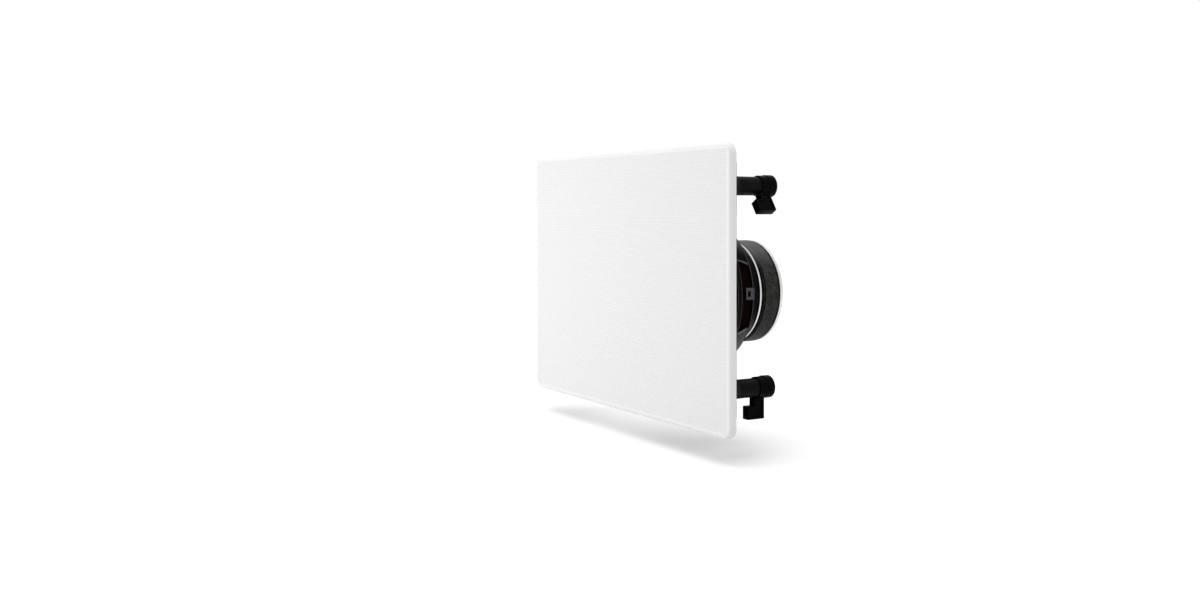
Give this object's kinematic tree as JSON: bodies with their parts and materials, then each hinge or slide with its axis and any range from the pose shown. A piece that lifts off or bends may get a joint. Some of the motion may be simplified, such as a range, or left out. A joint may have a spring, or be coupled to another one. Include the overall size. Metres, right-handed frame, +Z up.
{
  "type": "in-wall speaker",
  "caption": "Flush rectangular two-way wall speaker: white perforated magnetic grille on a black frame, woofer with exposed basket and magnet behind, swing clamps on towers.",
  "frame": {"origin": "middle of the wall plane, where the back of the frame's flange meets the wall", "axes": "+X to the right seen from the front, +Y into the wall, +Z up"},
  "size_m": [0.304, 0.0933, 0.216],
  "materials": {
    "grille_paint": "white powder coat on perforated steel",
    "scrim_cloth": "thin white cloth",
    "nickel": "nickel plate",
    "frame_plastic": "black satin moulding",
    "basket_paint": "black satin paint on pressed steel",
    "gasket_foam": "dense black foam",
    "surround_rubber": "matt black rubber",
    "cone_poly": "dark grey fibre-filled polymer",
    "cap_poly": "satin black polymer",
    "former_foil": "bare foil",
    "copper": "enamelled copper",
    "spider_cloth": "resin-stiffened ochre cloth",
    "zinc": "bright zinc plate",
    "ferrite": "ground dark grey ceramic",
    "tag_fibre": "brown paper laminate",
    "brass": "tinned brass",
    "black_screw": "black zinc",
    "pod_plastic": "black satin moulding",
    "dome_silk": "coated silk",
    "clamp_plastic": "black glass-filled nylon",
    "board_resist": "green solder resist",
    "bobbin_nylon": "black nylon",
    "capacitor_film": "red-brown film",
    "resistor_ceramic": "off-white ceramic",
    "block_plastic": "black moulding",
    "button_red": "red moulding",
    "button_black": "black moulding",
    "lead_sheath": "black insulation"
  },
  "bodies": {
    "frame": {"frame": "frame_plastic", "grille_magnets": "nickel", "woofer_basket": "basket_paint", "woofer_gasket": "gasket_foam", "woofer_surround": "surround_rubber", "spider": "spider_cloth", "top_plate": "zinc", "ferrite_magnet": "ferrite", "pole_yoke": "zinc", "woofer_tag_board": "tag_fibre", "woofer_tags": "brass", "tinsel_leads": "copper", "woofer_screws": "black_screw", "crossover_board": "board_resist", "board_screws": "black_screw", "inductor_bobbin": "bobbin_nylon", "inductor_winding": "copper", "capacitors": "capacitor_film", "resistor": "resistor_ceramic", "terminal_block": "block_plastic", "block_screws": "zinc", "input_leads": "lead_sheath", "woofer_leads": "lead_sheath", "tweeter_leads": "lead_sheath"},
    "grille": {"grille": "grille_paint", "grille_scrim": "scrim_cloth"},
    "woofer_cone": {"woofer_cone": "cone_poly", "woofer_dust_cap": "cap_poly", "coil_former": "former_foil", "voice_coil": "copper"},
    "tweeter": {"tweeter_pod": "pod_plastic", "tweeter_pins": "zinc", "tweeter_dome": "dome_silk", "tweeter_coil": "copper", "tweeter_plate": "zinc", "tweeter_magnet": "ferrite", "tweeter_yoke": "zinc"},
    "button_red": {"terminal_button_red": "button_red"},
    "button_black": {"terminal_button_black": "button_black"},
    "clamp_screw_upper_right": {"clamp_screw_upper_right": "zinc"},
    "clamp_upper_right": {"clamp_upper_right": "clamp_plastic"},
    "clamp_screw_upper_left": {"clamp_screw_upper_left": "zinc"},
    "clamp_upper_left": {"clamp_upper_left": "clamp_plastic"},
    "clamp_screw_lower_right": {"clamp_screw_lower_right": "zinc"},
    "clamp_lower_right": {"clamp_lower_right": "clamp_plastic"},
    "clamp_screw_lower_left": {"clamp_screw_lower_left": "zinc"},
    "clamp_lower_left": {"clamp_lower_left": "clamp_plastic"}
  },
  "joints": [
    {"name": "grille_pull", "type": "slide", "parent": "frame", "child": "grille", "axis": [0, -1, 0], "range_m": [0, 0.04]},
    {"name": "woofer_excursion", "type": "slide", "parent": "frame", "child": "woofer_cone", "axis": [0, -1, 0], "range_m": [-0.004, 0.004], "stiffness_N_per_m": 1400, "deforming": ["woofer_surround", "spider", "tinsel_leads"]},
    {"name": "tweeter_aim", "type": "hinge", "parent": "frame", "child": "tweeter", "pos_m": [-0.072, 0.008, 0], "axis": [0, 0, 1], "range_deg": [-15, 15], "deforming": ["tweeter_leads"]},
    {"name": "button_red_push", "type": "slide", "parent": "frame", "child": "button_red", "axis": [0, -1, 0], "range_m": [0, 0.003], "stiffness_N_per_m": 1000, "springref_m": -0.002},
    {"name": "button_black_push", "type": "slide", "parent": "frame", "child": "button_black", "axis": [0, -1, 0], "range_m": [0, 0.003], "stiffness_N_per_m": 1000, "springref_m": -0.002},
    {"name": "clamp_swing_upper_right", "type": "hinge", "parent": "frame", "child": "clamp_screw_upper_right", "pos_m": [0.1315, 0.03, 0.0769], "axis": [0, -1, 0], "range_deg": [-33, 57]},
    {"name": "clamp_draw_upper_right", "type": "slide", "parent": "clamp_screw_upper_right", "child": "clamp_upper_right", "axis": [0, -1, 0], "range_m": [0, 0.0108]},
    {"name": "clamp_swing_upper_left", "type": "hinge", "parent": "frame", "child": "clamp_screw_upper_left", "pos_m": [-0.1315, 0.03, 0.0769], "axis": [0, 1, 0], "range_deg": [0, 90]},
    {"name": "clamp_draw_upper_left", "type": "slide", "parent": "clamp_screw_upper_left", "child": "clamp_upper_left", "axis": [0, -1, 0], "range_m": [0, 0.0088]},
    {"name": "clamp_swing_lower_right", "type": "hinge", "parent": "frame", "child": "clamp_screw_lower_right", "pos_m": [0.1315, 0.03, -0.0747], "axis": [0, -1, 0], "range_deg": [0, 90]},
    {"name": "clamp_draw_lower_right", "type": "slide", "parent": "clamp_screw_lower_right", "child": "clamp_lower_right", "axis": [0, -1, 0], "range_m": [0, 0.0088]},
    {"name": "clamp_swing_lower_left", "type": "hinge", "parent": "frame", "child": "clamp_screw_lower_left", "pos_m": [-0.1315, 0.03, -0.0747], "axis": [0, 1, 0], "range_deg": [0, 90]},
    {"name": "clamp_draw_lower_left", "type": "slide", "parent": "clamp_screw_lower_left", "child": "clamp_lower_left", "axis": [0, -1, 0], "range_m": [0, 0.0088]}
  ]
}
